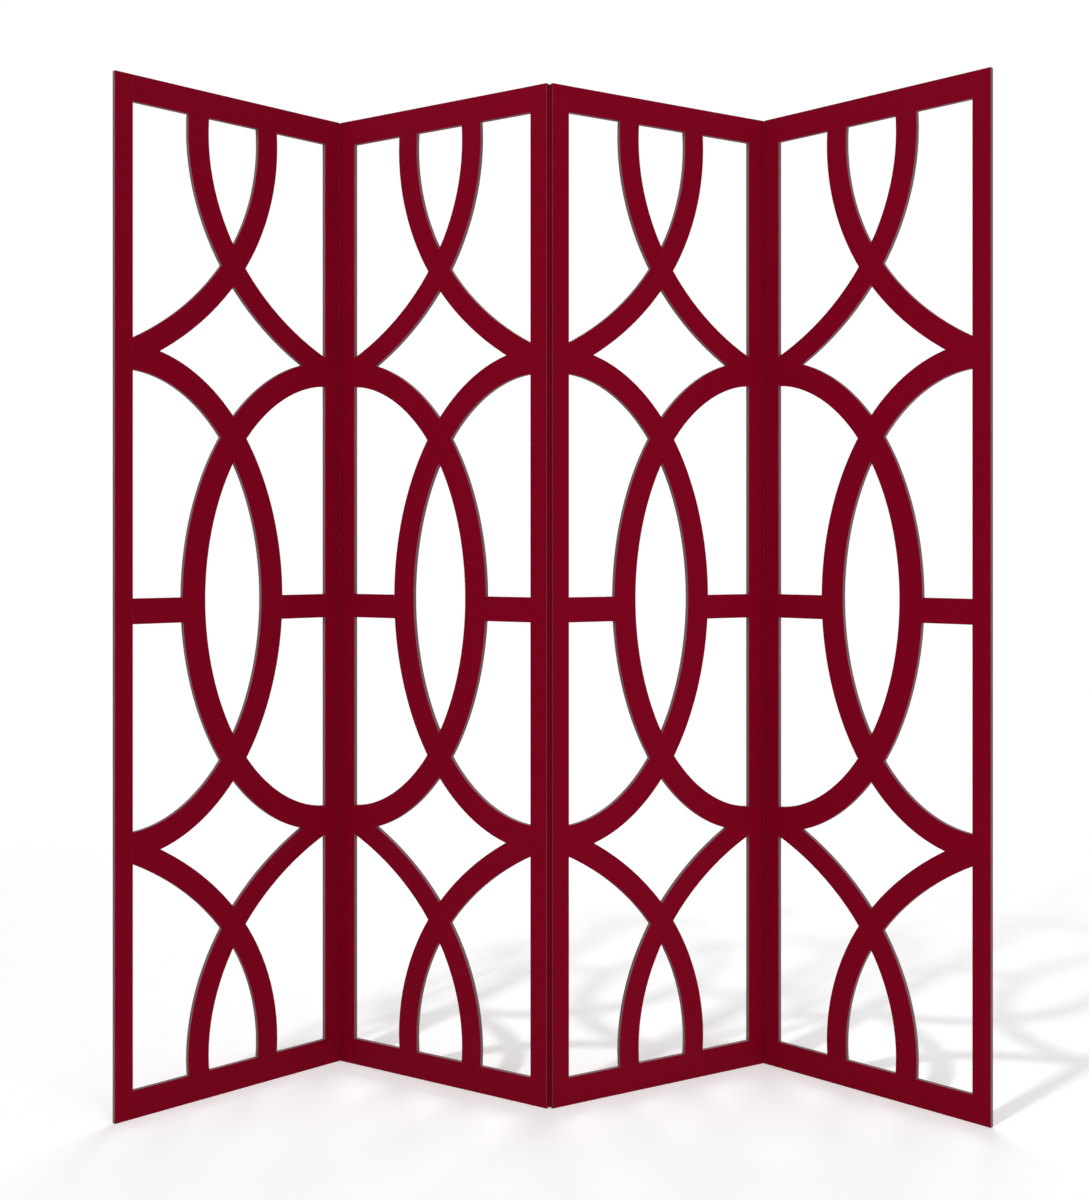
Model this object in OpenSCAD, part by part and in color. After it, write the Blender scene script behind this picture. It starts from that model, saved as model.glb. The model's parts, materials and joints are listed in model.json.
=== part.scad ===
// Four-panel folding screen with an open lattice of crossing half ovals.
// X runs along the width, the front faces -Y and +Z is up.
// The origin is on the floor, at the middle of the standing screen.

/* [Screen] */
// Width of one panel
panel_w = 440; // [400:5:520]
// Height of the screen
screen_h = 1700; // [1600:10:2000]
// Thickness of the panels
panel_t = 8; // [8:0.5:20]

/* [Stance] */
// Angle of the first panel to a straight line through the screen
angle_1 = 43; // [10:0.5:60]
// Angle of the second panel
angle_2 = 32; // [10:0.5:60]
// Angle of the third panel
angle_3 = 30; // [10:0.5:60]
// Angle of the fourth panel
angle_4 = 43.5; // [10:0.5:60]

/* [Frame] */
// Width of a stile
stile_w = 32; // [30:1:45]
// Height of the top rail
top_rail_h = 44; // [38:1:70]
// Height of the bottom rail
bottom_rail_h = 46; // [38:1:90]
// Height of the middle rails
middle_rail_h = 42; // [20:1:60]
// Distance of the middle rails below the ovals' centre
middle_rail_drop = 17; // [0:1:30]

/* [Ovals] */
// Distance of the ovals' centre below mid height
oval_drop = 7; // [0:1:15]
// Width of the oval ribs
oval_rib_w = 43; // [36:1:50]
// Height of the half ovals over their outer edges
oval_h = 840; // [780:1:900]
// Distance of the ovals' centres behind the stile's inner face
oval_set = 12; // [0:1:20]
// Widest opening of the lens between the two half ovals
lens_w = 110; // [80:1:140]

/* [Arcs] */
// Width of the arcs above and below the ovals
arc_rib_w = 39; // [34:1:46]
// Distance of the arcs' centres behind the stile's inner face
arc_set = 240; // [180:1:280]
// Distance from a rail's inner face to the arcs' centres
arc_drop = 26; // [10:1:60]
// Opening between the two arcs where they meet the rail
crown_w = 97; // [70:1:130]
// Overlap of an arc and an oval at the stile
arc_overlap = 34; // [28:1:40]

/* [Dowels] */
// Diameter of the wooden dowels
dowel_d = 4; // [3:0.5:5]
// Length of the dowels
dowel_l = 30; // [20:1:32]
// Chamfer on a dowel's ends
dowel_chamfer = 0.5; // [0.2:0.1:1]
// Radial clearance of a dowel in its hole
dowel_fit = 0.1; // [0.05:0.05:0.2]
// Free length at each end of a dowel's hole
dowel_play = 0.5; // [0.2:0.1:1]

/* [Hinges] */
// Height that a continuous hinge leaves free at the top and at the bottom of a fold
hinge_end = 2; // [2:1:40]
// Gap between two panels standing in a straight line
fold_gap = 1; // [0.6:0.1:1.6]
// Distance of a pin's axis outside the panel's face
pin_stand = 0.5; // [0.3:0.1:1]
// Thickness of a hinge plate
plate_t = 1.2; // [1:0.1:1.4]
// Wood left between a hinge plate and the panel's far face
plate_edge = 1.2; // [1:0.1:1.6]
// Outer diameter of the knuckles
knuckle_d = 4.5; // [4:0.1:4.7]
// Clearance around a knuckle in the hollowed corner of the panel
knuckle_clear = 0.3; // [0.2:0.05:0.4]
// Length of a knuckle, about: it is evened out over the hinge
knuckle_l = 30; // [20:1:50]
// Gap between two knuckles
knuckle_gap = 0.1; // [0.1:0.05:0.4]
// Diameter of a hinge pin
pin_d = 2.2; // [1.8:0.1:2.4]
// Radial clearance of a pin in its knuckles
pin_fit = 0.06; // [0.03:0.01:0.1]
// Diameter of a pin's upset ends
pin_head_d = 3.6; // [3:0.1:4]
// Thickness of a pin's upset ends
pin_head_t = 0.8; // [0.6:0.1:1.5]
// Clearance of a plate in its recess
recess_fit = 0.1; // [0.05:0.05:0.3]

/* [Screws] */
// Distance between the screws of a hinge plate
screw_pitch = 120; // [80:5:160]
// Length of a screw
screw_l = 12; // [8:1:13]
// Diameter of a screw's shank
screw_d = 2; // [1.6:0.1:2.4]
// Diameter of a screw's countersunk head
screw_head_d = 3.5; // [3:0.1:3.6]
// Length of a screw's point
screw_tip = 2; // [1:0.5:3]
// Clearance around a screw
screw_fit = 0.05; // [0.02:0.01:0.1]
// Width of the slot in a screw's head
slot_w = 0.5; // [0.4:0.1:0.8]
// Depth of the slot in a screw's head
slot_depth = 0.4; // [0.3:0.1:0.6]

/* [Hidden] */

lacquer = "#74001a";
birch = "#d8b98a";
left = 0;
right = 1;
top = 1;
bottom = -1;
curve_n = 144;
round_n = 48;
cut = 1; // how far a cutting shape runs past what it cuts

// ---- Stance: where each panel stands ----

// Direction of each panel, from its left edge to its right edge
heading = [angle_1, -angle_2, angle_3, -angle_4];
// Side of the pin at each fold: -1 in front, 1 behind
pin_side = [-1, 1, -1];
// Distance of a pin's axis from the panel's middle
pin_off = panel_t / 2 + pin_stand;
// Width of a hinge plate, from the pin's axis across the panel's edge
plate_w = pin_stand + panel_t - plate_edge;

function turned(k, v) = [
  v[0] * cos(heading[k]) - v[1] * sin(heading[k]),
  v[0] * sin(heading[k]) + v[1] * cos(heading[k])
];
function right_pin(k) = [panel_w + fold_gap / 2, pin_side[k] * pin_off];
function left_pin(k) = [-fold_gap / 2, pin_side[k - 1] * pin_off];
function chained(k) = k == 0 ? [0, 0]
  : chained(k - 1) + turned(k - 1, right_pin(k - 1)) - turned(k, left_pin(k));

corners = [for (k = [0 : 3], x = [0, panel_w], y = [-panel_t / 2, panel_t / 2]) chained(k) + turned(k, [x, y])];
corner_x = [for (c = corners) c[0]];
corner_y = [for (c = corners) c[1]];
middle = [(min(corner_x) + max(corner_x)) / 2, (min(corner_y) + max(corner_y)) / 2];

// Stands what is drawn flat in a panel's own frame where panel k stands
module place(k) {
  translate([chained(k)[0] - middle[0], chained(k)[1] - middle[1], 0]) rotate([0, 0, heading[k]]) children();
}

// ---- Lattice: the curves of one panel, seen from the front ----

mid_z = screen_h / 2;
oval_z = mid_z - oval_drop;
middle_rail_z = oval_z - middle_rail_drop;
window_w = panel_w - 2 * stile_w;
window_h = screen_h - top_rail_h - bottom_rail_h;

function rail_face(end) = end == top ? screen_h - top_rail_h : bottom_rail_h;
function at_side(side, x) = side == left ? x : panel_w - x;
function other(side) = 1 - side;
function ellipse(side, cx, cz, a, b) = [
  for (i = [0 : curve_n - 1]) [at_side(side, cx + a * cos(360 * i / curve_n)), cz + b * sin(360 * i / curve_n)]
];
// Height of an ellipse over its centre, at a distance x from its middle line
function rise(x, a, b) = b * sqrt(1 - pow(x / a, 2));

// Half axes of the ovals, outer and inner
oval_x = stile_w - oval_set;
oval_in_a = (panel_w + lens_w) / 2 - oval_x;
oval_out_a = oval_in_a + oval_rib_w;
oval_out_b = oval_h / 2;
oval_in_b = oval_out_b - oval_rib_w;

// Where ovals and arcs end on the stile, measured from the ovals' centre
oval_out_end = rise(oval_set, oval_out_a, oval_out_b);
oval_in_end = rise(oval_set, oval_in_a, oval_in_b);
arc_out_end = oval_out_end - arc_overlap;
seam = oval_out_end - arc_overlap / 2;

// Half axes of the arcs, outer and inner
arc_x = stile_w - arc_set;
arc_in_a = (panel_w + crown_w) / 2 - arc_x;
arc_out_a = arc_in_a + arc_rib_w;
function arc_z(end) = rail_face(end) - end * arc_drop;
function arc_out_b(end) = (abs(arc_z(end) - oval_z) - arc_out_end) / rise(arc_set, arc_out_a, 1);
function arc_in_b(end) = arc_out_b(end) - arc_rib_w;
function arc_in_end(end) = abs(arc_z(end) - oval_z) - rise(arc_set, arc_in_a, arc_in_b(end));

module oval_disc(side, a, b) polygon(ellipse(side, oval_x, oval_z, a, b));
module oval_band(side) {
  difference() {
    oval_disc(side, oval_out_a, oval_out_b);
    oval_disc(side, oval_in_a, oval_in_b);
  }
}
module arc_band(side, end) {
  difference() {
    polygon(ellipse(side, arc_x, arc_z(end), arc_out_a, arc_out_b(end)));
    polygon(ellipse(side, arc_x, arc_z(end), arc_in_a, arc_in_b(end)));
  }
}
module window() translate([stile_w, bottom_rail_h]) square([window_w, window_h]);
// Everything nearer to the rail than the seam between ovals and arcs
module past_seam(end) {
  low_z = end == top ? oval_z + seam : -cut;
  high_z = end == top ? screen_h + cut : oval_z - seam;
  translate([-cut, low_z]) square([panel_w + 2 * cut, high_z - low_z]);
}
// Everything on the oval's side of the seam
module before_seam() translate([-cut, oval_z - seam]) square([panel_w + 2 * cut, 2 * seam]);

// Raises a front view to a slab between two depths
module slab(from_y, to_y) translate([0, to_y, 0]) rotate([90, 0, 0]) linear_extrude(to_y - from_y) children();
module full_slab() slab(-panel_t / 2, panel_t / 2) children();
// The half of the thickness that a rib gives up where it crosses a rib of the other side
module lap(side) {
  if (side == left) slab(0, panel_t / 2 + cut) children();
  else slab(-panel_t / 2 - cut, 0) children();
}
module through() slab(-panel_t / 2 - cut, panel_t / 2 + cut) children();

// ---- Dowels ----

middle_rail_end = panel_w - oval_x - rise(middle_rail_drop, oval_out_b, oval_out_a);
crown_x = (panel_w + crown_w + arc_rib_w) / 2;
oval_dowel = (oval_in_end + seam) / 2;
function arc_dowel(end) = (seam + arc_in_end(end)) / 2;
function rail_dowels(z, h) = [z + h / 4, z + 3 * h / 4];
// Each dowel's middle, in the front view
level_dowels = [
  for (side = [left, right])
    for (spot = concat(
      [for (z = rail_dowels(0, bottom_rail_h)) [stile_w, z]],
      [for (z = rail_dowels(screen_h - top_rail_h, top_rail_h)) [stile_w, z]],
      [for (end = [top, bottom]) [stile_w, oval_z + end * oval_dowel]],
      [for (end = [top, bottom]) [stile_w, oval_z + end * arc_dowel(end)]],
      [[stile_w, middle_rail_z], [middle_rail_end, middle_rail_z]]
    )) [at_side(side, spot[0]), spot[1]]
];
upright_dowels = [for (side = [left, right], end = [top, bottom]) [at_side(side, crown_x), rail_face(end)]];

module on_dowels() {
  for (p = level_dowels) translate([p[0], 0, p[1]]) rotate([0, 90, 0]) children();
  for (p = upright_dowels) translate([p[0], 0, p[1]]) children();
}
module dowel_holes() {
  on_dowels() cylinder(d = dowel_d + 2 * dowel_fit, h = dowel_l + 2 * dowel_play, center = true, $fn = round_n);
}
module dowel() {
  end_d = dowel_d - 2 * dowel_chamfer;
  body_l = dowel_l - 2 * dowel_chamfer;
  union() {
    cylinder(d = dowel_d, h = body_l, center = true, $fn = round_n);
    for (side = [0, 1]) mirror([0, 0, side]) translate([0, 0, body_l / 2])
      cylinder(d1 = dowel_d, d2 = end_d, h = dowel_chamfer, $fn = round_n);
  }
}

// ---- Hinges, drawn about the pin's axis with the panel to the right and behind ----

hinge_l = screen_h - 2 * hinge_end;
edge_x = fold_gap / 2;
hollow_d = knuckle_d + 2 * knuckle_clear;
// An odd number, so that the same plate has the knuckles at both ends
knuckles = 2 * floor(hinge_l / knuckle_l / 2) + 1;
knuckle_pitch = hinge_l / knuckles;
screws_n = floor(hinge_l / screw_pitch);

// Turns a hinge drawing to the left or right edge of panel k
module at_left_edge(k) {
  translate([left_pin(k)[0], left_pin(k)[1], mid_z]) mirror([0, pin_side[k - 1] > 0 ? 1 : 0, 0]) children();
}
module at_right_edge(k) {
  translate([right_pin(k)[0], right_pin(k)[1], mid_z]) mirror([0, pin_side[k] > 0 ? 1 : 0, 0])
    mirror([1, 0, 0]) children();
}
module at_screws() {
  for (i = [0 : screws_n - 1]) translate([edge_x, pin_off, (i - (screws_n - 1) / 2) * screw_pitch])
    rotate([0, 90, 0]) children();
}
module hinge_recess() {
  hollow_l = hinge_l + 2 * (pin_head_t + knuckle_clear);
  translate([edge_x - cut, 0, -hinge_l / 2 - recess_fit])
    cube([plate_t + cut, plate_w + recess_fit, hinge_l + 2 * recess_fit]);
  cylinder(d = hollow_d, h = hollow_l, center = true, $fn = round_n);
  at_screws() cylinder(d = screw_d + 2 * screw_fit, h = screw_l + screw_fit, $fn = round_n);
}
module hinge_plate(first) {
  difference() {
    union() {
      difference() {
        translate([edge_x, 0, -hinge_l / 2]) cube([plate_t, plate_w, hinge_l]);
        cylinder(d = hollow_d, h = hinge_l + 2 * cut, center = true, $fn = round_n);
      }
      // Knuckles, counted from the bottom, each with half a gap kept free at both ends
      for (i = [first : 2 : knuckles - 1]) translate([0, 0, -hinge_l / 2 + i * knuckle_pitch + knuckle_gap / 2]) {
        cylinder(d = knuckle_d, h = knuckle_pitch - knuckle_gap, $fn = round_n);
        translate([edge_x, 0, 0]) cube([plate_t, hollow_d / 2 + cut, knuckle_pitch - knuckle_gap]);
      }
    }
    cylinder(d = pin_d + 2 * pin_fit, h = hinge_l + 2 * cut, center = true, $fn = round_n);
    at_screws() {
      cylinder(d1 = screw_head_d + 2 * screw_fit, d2 = screw_d + 2 * screw_fit, h = plate_t, $fn = round_n);
      cylinder(d = screw_d + 2 * screw_fit, h = plate_t + cut, $fn = round_n);
    }
  }
}
module hinge_pin() {
  union() {
    cylinder(d = pin_d, h = hinge_l + pin_head_t, center = true, $fn = round_n);
    for (z = [-hinge_l / 2 - pin_head_t, hinge_l / 2]) translate([0, 0, z])
      cylinder(d = pin_head_d, h = pin_head_t, $fn = round_n);
  }
}
module screw() {
  shank_l = screw_l - screw_tip;
  difference() {
    union() {
      cylinder(d1 = screw_head_d, d2 = screw_d, h = plate_t, $fn = round_n);
      cylinder(d = screw_d, h = shank_l, $fn = round_n);
      translate([0, 0, shank_l]) cylinder(d1 = screw_d, d2 = screw_d / 4, h = screw_tip, $fn = round_n);
    }
    translate([-slot_w / 2, -screw_head_d, -cut]) cube([slot_w, 2 * screw_head_d, cut + slot_depth]);
  }
}

// ---- Pieces of one panel ----

module stile(k, side) {
  color(lacquer) place(k) difference() {
    translate([side == left ? 0 : panel_w - stile_w, -panel_t / 2, 0]) cube([stile_w, panel_t, screen_h]);
    dowel_holes();
    if (side == left && k > 0) at_left_edge(k) hinge_recess();
    if (side == right && k < 3) at_right_edge(k) hinge_recess();
  }
}
module rail(k, end) {
  rail_h = end == top ? top_rail_h : bottom_rail_h;
  color(lacquer) place(k) difference() {
    translate([stile_w, -panel_t / 2, end == top ? screen_h - rail_h : 0]) cube([window_w, panel_t, rail_h]);
    dowel_holes();
  }
}
module oval(k, side) {
  color(lacquer) place(k) difference() {
    full_slab() intersection() {
      window();
      oval_band(side);
    }
    lap(side) oval_band(other(side));
    for (end = [top, bottom]) through() intersection() {
      arc_band(side, end);
      past_seam(end);
    }
    dowel_holes();
  }
}
module arcs(k, side) {
  color(lacquer) place(k) for (end = [top, bottom]) difference() {
    full_slab() intersection() {
      window();
      arc_band(side, end);
    }
    lap(side) arc_band(other(side), end);
    through() intersection() {
      oval_band(side);
      before_seam();
    }
    dowel_holes();
  }
}
module middle_rail(k, side) {
  color(lacquer) place(k) difference() {
    translate([side == left ? stile_w : panel_w / 2, -panel_t / 2, middle_rail_z - middle_rail_h / 2])
      cube([window_w / 2, panel_t, middle_rail_h]);
    through() oval_disc(other(side), oval_out_a, oval_out_b);
    dowel_holes();
  }
}
module dowels(k) color(birch) place(k) on_dowels() dowel();
module screws(k) {
  color(lacquer) place(k) {
    if (k > 0) at_left_edge(k) at_screws() screw();
    if (k < 3) at_right_edge(k) at_screws() screw();
  }
}

// ---- Pieces of one fold, between panels k and k + 1 ----

module left_plate(k) color(lacquer) place(k) at_right_edge(k) hinge_plate(0);
module right_plate(k) color(lacquer) place(k + 1) at_left_edge(k + 1) hinge_plate(1);
module pin(k) color("silver") place(k) at_right_edge(k) hinge_pin();

stile(0, left);  // panel_1_left_stile
stile(0, right);  // panel_1_right_stile
rail(0, top);  // panel_1_top_rail
rail(0, bottom);  // panel_1_bottom_rail
oval(0, left);  // panel_1_left_oval
oval(0, right);  // panel_1_right_oval
arcs(0, left);  // panel_1_left_arcs
arcs(0, right);  // panel_1_right_arcs
middle_rail(0, left);  // panel_1_left_middle_rail
middle_rail(0, right);  // panel_1_right_middle_rail
dowels(0);  // panel_1_dowels
screws(0);  // panel_1_screws

stile(1, left);  // panel_2_left_stile
stile(1, right);  // panel_2_right_stile
rail(1, top);  // panel_2_top_rail
rail(1, bottom);  // panel_2_bottom_rail
oval(1, left);  // panel_2_left_oval
oval(1, right);  // panel_2_right_oval
arcs(1, left);  // panel_2_left_arcs
arcs(1, right);  // panel_2_right_arcs
middle_rail(1, left);  // panel_2_left_middle_rail
middle_rail(1, right);  // panel_2_right_middle_rail
dowels(1);  // panel_2_dowels
screws(1);  // panel_2_screws

stile(2, left);  // panel_3_left_stile
stile(2, right);  // panel_3_right_stile
rail(2, top);  // panel_3_top_rail
rail(2, bottom);  // panel_3_bottom_rail
oval(2, left);  // panel_3_left_oval
oval(2, right);  // panel_3_right_oval
arcs(2, left);  // panel_3_left_arcs
arcs(2, right);  // panel_3_right_arcs
middle_rail(2, left);  // panel_3_left_middle_rail
middle_rail(2, right);  // panel_3_right_middle_rail
dowels(2);  // panel_3_dowels
screws(2);  // panel_3_screws

stile(3, left);  // panel_4_left_stile
stile(3, right);  // panel_4_right_stile
rail(3, top);  // panel_4_top_rail
rail(3, bottom);  // panel_4_bottom_rail
oval(3, left);  // panel_4_left_oval
oval(3, right);  // panel_4_right_oval
arcs(3, left);  // panel_4_left_arcs
arcs(3, right);  // panel_4_right_arcs
middle_rail(3, left);  // panel_4_left_middle_rail
middle_rail(3, right);  // panel_4_right_middle_rail
dowels(3);  // panel_4_dowels
screws(3);  // panel_4_screws

left_plate(0);  // fold_1_left_plate
right_plate(0);  // fold_1_right_plate
pin(0);  // fold_1_pin
left_plate(1);  // fold_2_left_plate
right_plate(1);  // fold_2_right_plate
pin(1);  // fold_2_pin
left_plate(2);  // fold_3_left_plate
right_plate(2);  // fold_3_right_plate
pin(2);  // fold_3_pin
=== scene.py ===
"""Looks of the four-panel folding screen: lacquer, hardware, floor, light and camera.

Lengths are in metres unless they say otherwise, and colours are linear.
"""

import json
import math

import bmesh
import bpy
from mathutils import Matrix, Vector
from mathutils.bvhtree import BVHTree

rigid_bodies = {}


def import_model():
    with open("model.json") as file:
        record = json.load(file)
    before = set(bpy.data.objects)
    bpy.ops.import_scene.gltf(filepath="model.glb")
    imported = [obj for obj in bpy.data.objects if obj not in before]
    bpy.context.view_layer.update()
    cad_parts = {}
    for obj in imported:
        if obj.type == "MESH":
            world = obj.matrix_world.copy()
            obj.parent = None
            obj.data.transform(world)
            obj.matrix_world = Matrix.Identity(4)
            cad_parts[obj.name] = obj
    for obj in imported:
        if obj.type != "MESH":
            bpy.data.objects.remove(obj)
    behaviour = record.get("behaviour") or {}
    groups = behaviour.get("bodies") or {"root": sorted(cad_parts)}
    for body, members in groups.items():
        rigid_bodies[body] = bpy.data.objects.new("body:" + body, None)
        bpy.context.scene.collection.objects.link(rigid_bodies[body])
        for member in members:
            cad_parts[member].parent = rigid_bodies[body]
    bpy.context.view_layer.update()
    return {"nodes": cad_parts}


# the start-up file's own cube, lamp and camera
for thing in list(bpy.data.objects):
    bpy.data.objects.remove(thing)

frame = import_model()
nodes = frame["nodes"]

# ---- colours ----

RED = (0.176, 0.0003, 0.0106)
# the hinges' red is darker than the panels' as painted shade, so that the folds read as dark lines
HINGE_RED_WITH_FOLD_SHADE = (0.145, 0.0003, 0.0095)
RED_SHEEN = (1.0, 0.12, 0.18)
# grey red of the boards' edge faces: painted shade and painted reflection of their sides
BOARD_EDGE_SHADE_AND_REFLECTION = (0.205, 0.114, 0.129)
BIRCH = (0.52, 0.35, 0.17)
DARK_STEEL = (0.085, 0.08, 0.085)
FLOOR_WHITE = (0.93, 0.93, 0.93)
PLAIN_WHITE = (1.0, 1.0, 1.0)

# ---- panels and pieces ----

PANELS = (1, 2, 3, 4)
LEVEL_PIECES = ("top_rail", "bottom_rail", "left_middle_rail", "right_middle_rail")
FASTENERS = ("dowels", "screws")

# an edge whose ends differ less than this in height is level
LEVEL_RISE = 1e-5


def panel_of(name):
    """Number of the panel that a node belongs to, or None for a hinge."""
    return int(name.split("_")[1]) if name.startswith("panel_") else None


def piece_of(name):
    """A node's name without its panel or fold, such as top_rail or pin."""
    return name.split("_", 2)[2]


def heading_of(panel):
    """Angle of a panel to the X axis, read from the longest level edge of its bottom rail."""
    mesh = nodes["panel_%d_bottom_rail" % panel].data
    points = [vertex.co for vertex in mesh.vertices]
    runs = [points[end] - points[start] for start, end in (edge.vertices for edge in mesh.edges)]
    longest = max((run for run in runs if abs(run.z) < LEVEL_RISE), key=lambda run: run.length)
    if longest.x < 0:
        longest = -longest
    return math.atan2(longest.y, longest.x)


HEADING = {panel: heading_of(panel) for panel in PANELS}

# ---- node helpers ----

# the pattern of each piece is moved by a random share of this
PIECE_SHIFT = (3.1, 5.7, 9.3)
# nearly all values of a noise texture lie between these
NOISE_RANGE = (0.3, 0.7)
# size of a normal's Y part, in its panel's directions, on a board's edge and on its broad face
FACING_RANGE = (0.35, 0.65)


def even(size):
    """A pattern size that is the same along all axes."""
    return (size, size, size)


def lengthwise(upright, length, width):
    """A pattern size along X, Y and Z for a piece that stands upright or lies level."""
    return (width, width, length) if upright else (length, width, width)


class Graph:
    """A material's node tree, built with short calls."""

    def __init__(self, name):
        self.material = bpy.data.materials.new(name)
        self.material.use_nodes = True
        self.tree = self.material.node_tree
        self.shader = self.tree.nodes["Principled BSDF"]

    def add(self, kind, **settings):
        """A new node with its settings."""
        node = self.tree.nodes.new(kind)
        for setting, value in settings.items():
            setattr(node, setting, value)
        return node

    def link(self, source, target):
        """Link a node's output to another node's input."""
        self.tree.links.new(source, target)

    def feed(self, target, value):
        """Set an input to a number or colour, or link an output to it."""
        if isinstance(value, bpy.types.NodeSocket):
            self.link(value, target)
        else:
            target.default_value = value

    def put(self, name, value):
        """Feed one of the surface shader's inputs."""
        self.feed(self.shader.inputs[name], value)

    def math(self, operation, first, second=0.0):
        """Arithmetic on numbers or outputs."""
        node = self.add("ShaderNodeMath", operation=operation)
        self.feed(node.inputs[0], first)
        self.feed(node.inputs[1], second)
        return node.outputs[0]

    def scaled(self, vector, factor):
        """A vector or colour times a factor."""
        node = self.add("ShaderNodeVectorMath", operation="SCALE")
        self.feed(node.inputs[0], vector)
        self.link(factor, node.inputs["Scale"])
        return node.outputs[0]

    def remap(self, value, source, target=(0.0, 1.0), curve="LINEAR"):
        """A value taken from the source range to the target range, and held at its ends."""
        node = self.add("ShaderNodeMapRange", interpolation_type=curve)
        ends = ("From Min", "From Max", "To Min", "To Max")
        for name, number in zip(ends, (*source, *target)):
            node.inputs[name].default_value = number
        self.link(value, node.inputs["Value"])
        return node.outputs["Result"]

    def spread(self, noise, low, high):
        """A noise texture's values spread from low to high."""
        return self.remap(noise, NOISE_RANGE, (low, high))

    def turned(self, vector, heading):
        """A vector in a panel's own directions: X along the panel, Y out of its broad face."""
        turn = self.add("ShaderNodeMapping", vector_type="TEXTURE")
        turn.inputs["Rotation"].default_value = (0.0, 0.0, heading)
        self.link(vector, turn.inputs["Vector"])
        return turn.outputs["Vector"]

    def coordinates(self, heading=0.0):
        """Object coordinates in the panel's directions, moved by a different amount on each piece."""
        texture = self.add("ShaderNodeTexCoord")
        piece = self.add("ShaderNodeObjectInfo")
        moved = self.add("ShaderNodeVectorMath", operation="ADD")
        self.link(self.turned(texture.outputs["Object"], heading), moved.inputs[0])
        self.link(self.scaled(PIECE_SHIFT, piece.outputs["Random"]), moved.inputs[1])
        return moved.outputs[0]

    def noise(self, place, size, detail, roughness=0.5):
        """Noise whose spots have the given size along each axis."""
        mapping = self.add("ShaderNodeMapping")
        mapping.inputs["Scale"].default_value = tuple(1.0 / side for side in size)
        self.link(place, mapping.inputs["Vector"])
        node = self.add("ShaderNodeTexNoise")
        # the mapping does all the scaling
        node.inputs["Scale"].default_value = 1.0
        node.inputs["Detail"].default_value = detail
        node.inputs["Roughness"].default_value = roughness
        self.link(mapping.outputs["Vector"], node.inputs["Vector"])
        return node.outputs["Fac"]

    def broad(self, heading):
        """1 on a panel's front and back, 0 on the edges of its boards."""
        face = self.add("ShaderNodeNewGeometry")
        own = self.add("ShaderNodeVectorTransform", vector_type="NORMAL")
        own.convert_from = "WORLD"
        own.convert_to = "OBJECT"
        self.link(face.outputs["True Normal"], own.inputs[0])
        axes = self.add("ShaderNodeSeparateXYZ")
        self.link(self.turned(own.outputs[0], heading), axes.inputs[0])
        return self.remap(self.math("ABSOLUTE", axes.outputs["Y"]), FACING_RANGE)

    def between(self, factor, low, high):
        """A colour that goes from low to high as the factor goes from 0 to 1."""
        node = self.add("ShaderNodeMix", data_type="RGBA")
        node.inputs["A"].default_value = (*low, 1.0)
        node.inputs["B"].default_value = (*high, 1.0)
        self.link(factor, node.inputs["Factor"])
        return node.outputs["Result"]

    def bump(self, height, depth, strength, normal=None):
        """The normal of a surface whose relief is this deep, on top of another relief's normal."""
        node = self.add("ShaderNodeBump")
        node.inputs["Distance"].default_value = depth
        node.inputs["Strength"].default_value = strength
        self.link(height, node.inputs["Height"])
        if normal is not None:
            self.link(normal, node.inputs["Normal"])
        return node.outputs["Normal"]


# ---- materials ----


def lacquer(name, heading, upright, edge=False):
    """Sprayed satin lacquer over wood: faint grain and pores under an orange-peel surface."""
    graph = Graph(name)
    place = graph.coordinates(heading)
    grain_size = lengthwise(upright, length=0.09, width=0.0022)
    pore_size = lengthwise(upright, length=0.007, width=0.0004)
    grain = graph.noise(place, grain_size, detail=3.0, roughness=0.6)
    pores = graph.noise(place, pore_size, detail=1.0)
    cloud = graph.noise(place, even(0.11), detail=2.0)
    peel = graph.noise(place, even(0.0021), detail=1.5)
    broad = graph.broad(heading)

    cloud_shade = graph.spread(cloud, low=0.975, high=1.025)
    grain_shade = graph.spread(grain, low=0.985, high=1.015)
    shade = graph.math("MULTIPLY", cloud_shade, grain_shade)
    if edge:
        # painted shade darkens the arris as a whole, and it is lighter in spots where it is rubbed
        shade_and_wear_size = (0.012, 0.012, 0.02)
        shade_and_wear = graph.noise(place, shade_and_wear_size, detail=3.0, roughness=0.7)
        shade = graph.math("MULTIPLY", shade, graph.spread(shade_and_wear, low=0.7, high=1.1))
    # the boards' edge faces take a grey red, which is painted shade and painted reflection of their sides
    graph.put("Base Color", graph.scaled(graph.between(broad, BOARD_EDGE_SHADE_AND_REFLECTION, RED), shade))

    cloud_gloss = graph.spread(cloud, low=0.60, high=0.66)
    grain_gloss = graph.spread(grain, low=-0.02, high=0.02)
    gloss = graph.math("ADD", cloud_gloss, grain_gloss)
    # the boards' edges are rougher than their broad faces by this
    edge_roughness = 0.08
    dull = graph.math("MULTIPLY", graph.math("SUBTRACT", 1.0, broad), edge_roughness)
    graph.put("Roughness", graph.math("ADD", gloss, dull))

    normal = graph.bump(pores, depth=0.00003, strength=0.5)
    normal = graph.bump(grain, depth=0.00004, strength=0.6, normal=normal)
    normal = graph.bump(peel, depth=0.00005, strength=0.5, normal=normal)
    graph.put("Normal", normal)
    graph.put("Specular IOR Level", 0.13)
    graph.put("Specular Tint", (*RED_SHEEN, 1.0))
    return graph.material


def enamel(name):
    """A darker red on the steel hinges and screws, painted shade that makes the folds read as dark lines:
    no grain, a finer surface.
    """
    graph = Graph(name)
    place = graph.coordinates()
    cloud = graph.noise(place, even(0.02), detail=2.0)
    peel = graph.noise(place, even(0.0012), detail=1.5)
    graph.put("Base Color", graph.scaled(HINGE_RED_WITH_FOLD_SHADE, graph.spread(cloud, low=0.96, high=1.02)))
    graph.put("Roughness", graph.spread(cloud, low=0.40, high=0.48))
    graph.put("Normal", graph.bump(peel, depth=0.00003, strength=0.5))
    graph.put("Specular IOR Level", 0.2)
    graph.put("Specular Tint", (*RED_SHEEN, 1.0))
    return graph.material


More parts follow.
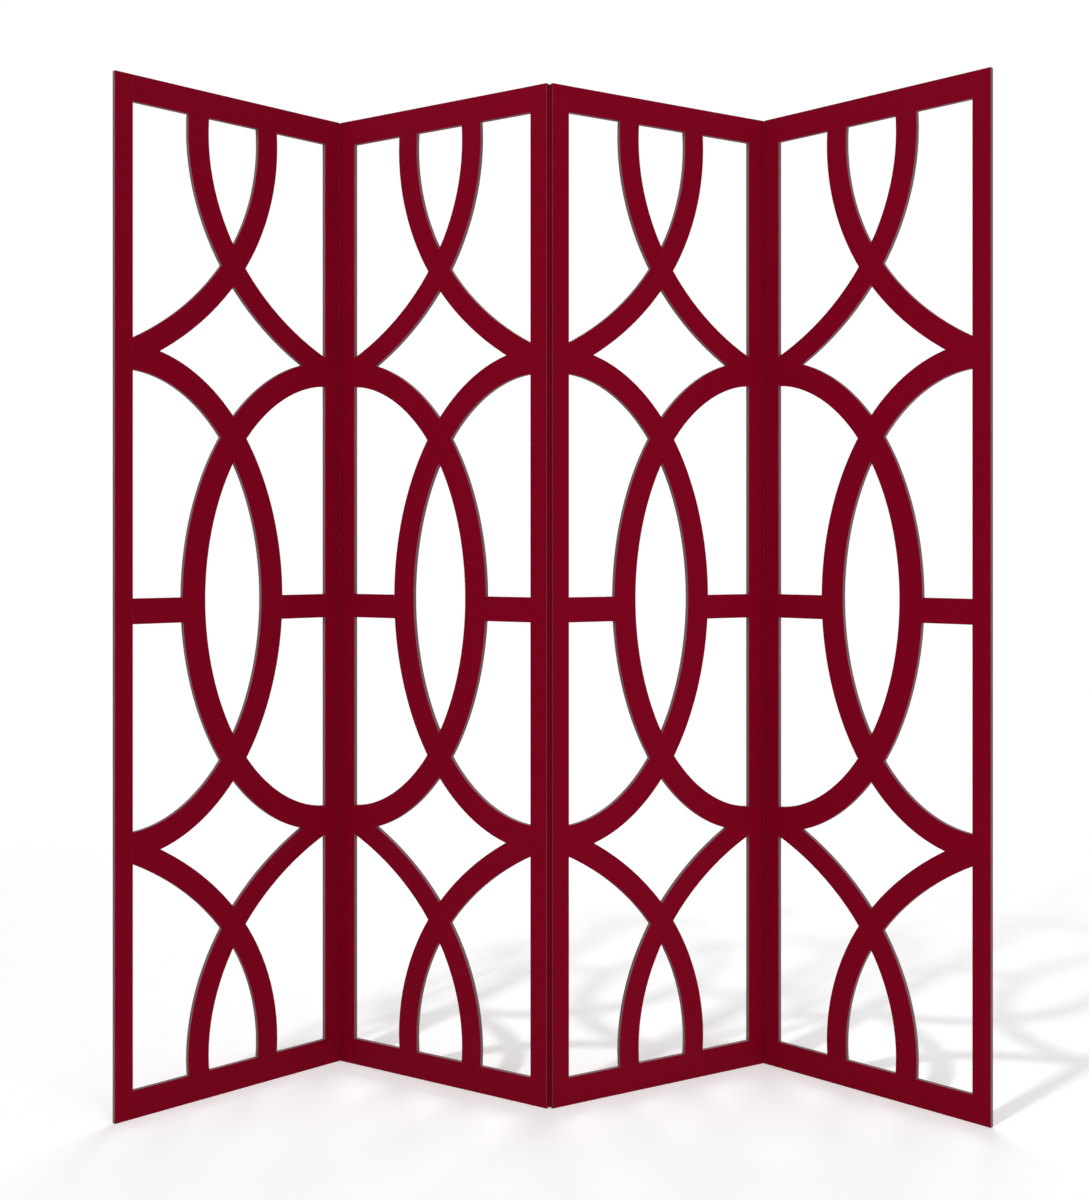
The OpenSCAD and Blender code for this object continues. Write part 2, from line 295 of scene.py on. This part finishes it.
def birch(name):
    """Bare turned birch with fine grain along the X axis."""
    graph = Graph(name)
    place = graph.coordinates()
    grain_size = lengthwise(upright=False, length=0.012, width=0.0006)
    fleck_size = lengthwise(upright=False, length=0.003, width=0.0004)
    grain = graph.noise(place, grain_size, detail=4.0, roughness=0.65)
    flecks = graph.noise(place, fleck_size, detail=1.0)
    grain_shade = graph.spread(grain, low=0.86, high=1.08)
    fleck_shade = graph.spread(flecks, low=0.95, high=1.03)
    shade = graph.math("MULTIPLY", grain_shade, fleck_shade)
    graph.put("Base Color", graph.scaled(BIRCH, shade))
    graph.put("Roughness", graph.spread(grain, low=0.62, high=0.74))
    graph.put("Normal", graph.bump(grain, depth=0.00008, strength=0.5))
    graph.put("Specular IOR Level", 0.3)
    return graph.material


def steel(name):
    """Blackened steel wire with marks around it and a cloudy surface."""
    graph = Graph(name)
    place = graph.coordinates()
    mark_size = (0.004, 0.004, 0.00015)
    marks = graph.noise(place, mark_size, detail=2.0)
    cloud = graph.noise(place, even(0.003), detail=2.0)
    graph.put("Base Color", graph.scaled(DARK_STEEL, graph.spread(cloud, low=0.9, high=1.06)))
    graph.put("Roughness", graph.spread(marks, low=0.34, high=0.5))
    graph.put("Normal", graph.bump(marks, depth=0.00001, strength=0.5))
    graph.put("Metallic", 1.0)
    return graph.material


panel_faces = {}
panel_arrises = {}
for panel in PANELS:
    for upright in (True, False):
        kind = "%d_%s" % (panel, "upright" if upright else "level")
        panel_faces[panel, upright] = lacquer("lacquer_" + kind, HEADING[panel], upright)
        panel_arrises[panel, upright] = lacquer("lacquer_edge_" + kind, HEADING[panel], upright, edge=True)
hinge_face = enamel("hinge_lacquer")
dowel_face = birch("dowel_birch")
pin_face = steel("pin_steel")


def dress(node, *materials):
    """Give a node the material of its faces and, where it has eased edges, the one of those."""
    node.data.materials.clear()
    for material in materials:
        node.data.materials.append(material)


for name, node in nodes.items():
    panel = panel_of(name)
    piece = piece_of(name)
    if piece == "pin":
        dress(node, pin_face)
    elif panel is None or piece == "screws":
        dress(node, hinge_face)
    elif piece == "dowels":
        dress(node, dowel_face)
    else:
        upright = piece not in LEVEL_PIECES
        dress(node, panel_faces[panel, upright], panel_arrises[panel, upright])

# ---- eased edges: every arris that no other piece covers is rounded ----

# width of an eased arris, the facets across it, and its slot among a node's materials
ARRIS = 0.0005
ARRIS_FACETS = 2
ARRIS_SLOT = 1
# share of that width that an edge in a joint gets, so that its faces are shaded apart
HAIRLINE = 0.02
# a shorter edge isn't eased
SHORTEST_EASED = 0.0004
# faces that meet at a smaller angle are one smooth surface
SHARP_ANGLE = math.radians(30)
# faces that meet at a smaller angle become one before the easing
FLAT_ANGLE = math.radians(0.5)
# how far outside an edge a covering piece is looked for
PROBE = 0.00025
# how near that piece's surface has to be, and how deep under it the place has to lie
SURFACE_REACH = 2 * PROBE
SURFACE_DEPTH = PROBE / 10
# split corners that are closer than this are joined
WELD = 1e-6
# corners are matched on a grid of this pitch
CORNER_PITCH = 4 * WELD


def corner_of(point):
    """A point's place on the corners' grid."""
    return tuple(round(value / CORNER_PITCH) for value in point)


def welded(mesh):
    """A copy of a mesh with its split corners joined, for looking only."""
    copy = bmesh.new()
    copy.from_mesh(mesh)
    bmesh.ops.remove_doubles(copy, verts=copy.verts, dist=WELD)
    copy.normal_update()
    return copy


def surface_of(node):
    """A search tree of the node's closed surface."""
    copy = welded(node.data)
    surface = BVHTree.FromBMesh(copy)
    copy.free()
    return surface


def lies_in(point, surface):
    """Whether a point lies in a solid, close under its surface."""
    nearest, normal, _, _ = surface.find_nearest(point, SURFACE_REACH)
    return nearest is not None and (point - nearest).dot(normal) < -SURFACE_DEPTH


def sort_edges(node, neighbours):
    """Share of an arris's width by the ends of each eased edge, and the ends of the other sharp edges."""
    copy = welded(node.data)
    eased = {}
    sharp = set()
    for edge in copy.edges:
        ends = frozenset(corner_of(vertex.co) for vertex in edge.verts)
        if len(edge.link_faces) != 2 or edge.calc_face_angle() < SHARP_ANGLE:
            continue
        if edge.calc_face_angle_signed() < 0 or edge.calc_length() < SHORTEST_EASED:
            sharp.add(ends)
            continue
        # a little way out of each face and of the edge itself, never level with a face
        first, second = (face.normal for face in edge.link_faces)
        middle = (edge.verts[0].co + edge.verts[1].co) / 2
        ways = (first - second, second - first, first + second)
        outside = [middle + way.normalized() * PROBE for way in ways]
        covered = any(lies_in(place, surface) for surface in neighbours for place in outside)
        eased[ends] = HAIRLINE if covered else 1.0
    copy.free()
    return eased, sharp


def mark_edges(node, eased, sharp):
    """Weigh a node's eased edges and mark its other sharp ones, with no stored normals in the way."""
    mesh = node.data
    mesh.attributes.remove(mesh.attributes["custom_normal"])
    mesh.polygons.foreach_set("use_smooth", [True] * len(mesh.polygons))
    weights = mesh.attributes.new("bevel_weight_edge", "FLOAT", "EDGE")
    corners = [corner_of(vertex.co) for vertex in mesh.vertices]
    for edge in mesh.edges:
        ends = frozenset(corners[index] for index in edge.vertices)
        weights.data[edge.index].value = eased.get(ends, 0.0)
        edge.use_edge_sharp = ends in sharp


def ease(node):
    """Round a node's weighed edges with modifiers, which leave its mesh as it is."""
    weld = node.modifiers.new("join", "WELD")
    weld.merge_threshold = WELD
    flat = node.modifiers.new("flat", "DECIMATE")
    flat.decimate_type = "DISSOLVE"
    flat.angle_limit = FLAT_ANGLE
    bevel = node.modifiers.new("ease", "BEVEL")
    bevel.limit_method = "WEIGHT"
    bevel.width = ARRIS
    bevel.segments = ARRIS_FACETS
    bevel.material = ARRIS_SLOT
    shade = node.modifiers.new("shade", "WEIGHTED_NORMAL")
    shade.keep_sharp = True


for panel in PANELS:
    wood = {
        name: node
        for name, node in nodes.items()
        if panel_of(name) == panel and piece_of(name) not in FASTENERS
    }
    surfaces = {name: surface_of(node) for name, node in wood.items()}
    for name, node in wood.items():
        neighbours = [surface for other, surface in surfaces.items() if other != name]
        eased, sharp = sort_edges(node, neighbours)
        mark_edges(node, eased, sharp)
        ease(node)

# ---- floor and background ----

FLOOR_SIDE = 60.0
# strength of the white that the eye sees on top of the lit floor
FLOOR_LIFT = 0.18
# distances from the floor's middle where it starts to fade and where it is plain white
FLOOR_FADE = (1.1, 3.0)
SKY_STRENGTH = 0.22
BACKGROUND_STRENGTH = 1.0


def background_rays(tree):
    """1 for the rays that show the background: from the camera, and in gloss and glass."""
    path = tree.nodes.new("ShaderNodeLightPath")
    rays = path.outputs["Is Camera Ray"]
    for kind in ("Is Glossy Ray", "Is Transmission Ray"):
        either = tree.nodes.new("ShaderNodeMath")
        either.operation = "MAXIMUM"
        tree.links.new(rays, either.inputs[0])
        tree.links.new(path.outputs[kind], either.inputs[1])
        rays = either.outputs[0]
    return rays


def floor_material():
    """Matt white floor, lifted to near white for the eye. Far out it is the background's plain white."""
    graph = Graph("floor")
    place = graph.add("ShaderNodeTexCoord").outputs["Object"]
    specks = graph.noise(place, even(0.02), detail=3.0)
    graph.put("Base Color", graph.scaled(FLOOR_WHITE, graph.spread(specks, low=0.99, high=1.01)))
    graph.put("Roughness", 0.9)
    graph.put("Specular IOR Level", 0.1)

    seen = background_rays(graph.tree)
    lift = graph.add("ShaderNodeEmission")
    graph.link(graph.math("MULTIPLY", seen, FLOOR_LIFT), lift.inputs["Strength"])
    lifted = graph.add("ShaderNodeAddShader")
    graph.link(graph.shader.outputs[0], lifted.inputs[0])
    graph.link(lift.outputs[0], lifted.inputs[1])

    radius = graph.add("ShaderNodeVectorMath", operation="LENGTH")
    graph.link(place, radius.inputs[0])
    far = graph.remap(radius.outputs["Value"], FLOOR_FADE, curve="SMOOTHSTEP")
    white = graph.add("ShaderNodeEmission")
    white.inputs["Strength"].default_value = BACKGROUND_STRENGTH
    mix = graph.add("ShaderNodeMixShader")
    graph.link(graph.math("MULTIPLY", far, seen), mix.inputs["Fac"])
    graph.link(lifted.outputs[0], mix.inputs[1])
    graph.link(white.outputs[0], mix.inputs[2])
    graph.link(mix.outputs[0], graph.tree.nodes["Material Output"].inputs["Surface"])
    return graph.material


def studio_world():
    """A dim white sky that lights the screen, and plain white for the rays that show the background."""
    world = bpy.data.worlds.new("studio")
    world.use_nodes = True
    tree = world.node_tree
    sky = tree.nodes["Background"]
    background = tree.nodes.new("ShaderNodeBackground")
    for node, strength in ((sky, SKY_STRENGTH), (background, BACKGROUND_STRENGTH)):
        node.inputs["Color"].default_value = (*PLAIN_WHITE, 1.0)
        node.inputs["Strength"].default_value = strength
    mix = tree.nodes.new("ShaderNodeMixShader")
    tree.links.new(background_rays(tree), mix.inputs["Fac"])
    tree.links.new(sky.outputs[0], mix.inputs[1])
    tree.links.new(background.outputs[0], mix.inputs[2])
    tree.links.new(mix.outputs[0], tree.nodes["World Output"].inputs["Surface"])
    return world


bpy.ops.mesh.primitive_plane_add(size=FLOOR_SIDE, location=(0.0, 0.0, 0.0))
floor = bpy.context.object
floor.name = "floor"
floor.data.materials.append(floor_material())

bpy.context.scene.world = studio_world()

# ---- lights ----

# what the lamps look at: the screen's middle, and the floor below it
MIDDLE = (0.0, 0.0, 0.8)
FOOT = (0.0, 0.0, 0.0)


def softbox(name, place, target, width, height, watts):
    """A rectangular lamp that looks at its target."""
    data = bpy.data.lights.new(name, "AREA")
    data.shape = "RECTANGLE"
    data.size = width
    data.size_y = height
    data.energy = watts
    lamp = bpy.data.objects.new(name, data)
    lamp.location = place
    lamp.rotation_mode = "QUATERNION"
    lamp.rotation_quaternion = (Vector(target) - Vector(place)).to_track_quat("-Z", "Y")
    bpy.context.scene.collection.objects.link(lamp)


softbox("key", place=(-2.4, -3.4, 5.4), target=MIDDLE, width=0.4, height=0.4, watts=170.0)
softbox("fill", place=(1.9, -3.6, 1.2), target=MIDDLE, width=2.4, height=2.2, watts=69.0)
softbox("top", place=(0.3, 0.4, 4.2), target=FOOT, width=3.0, height=3.0, watts=24.0)
softbox("back", place=(0.6, 3.6, 2.6), target=MIDDLE, width=2.6, height=2.0, watts=80.0)

# ---- camera: level, with the focal length and horizon of the photograph in its own pixels ----

FOCAL_PX = 1500.0
HORIZON_PX = 550.0
IMAGE_HEIGHT_PX = 1200.0
SENSOR_MM = 36.0
EYE = (-0.011, -2.564, 0.926)
LEVEL_VIEW = (math.radians(90.0), 0.0, 0.0)

camera = bpy.data.cameras.new("camera")
camera.sensor_fit = "AUTO"
camera.sensor_width = SENSOR_MM
camera.lens = FOCAL_PX / IMAGE_HEIGHT_PX * SENSOR_MM
camera.shift_y = (HORIZON_PX - IMAGE_HEIGHT_PX / 2) / IMAGE_HEIGHT_PX
camera.dof.use_dof = False
eye = bpy.data.objects.new("camera", camera)
eye.location = EYE
eye.rotation_euler = LEVEL_VIEW
bpy.context.scene.collection.objects.link(eye)
bpy.context.scene.camera = eye
bpy.context.scene.view_settings.view_transform = "Standard"
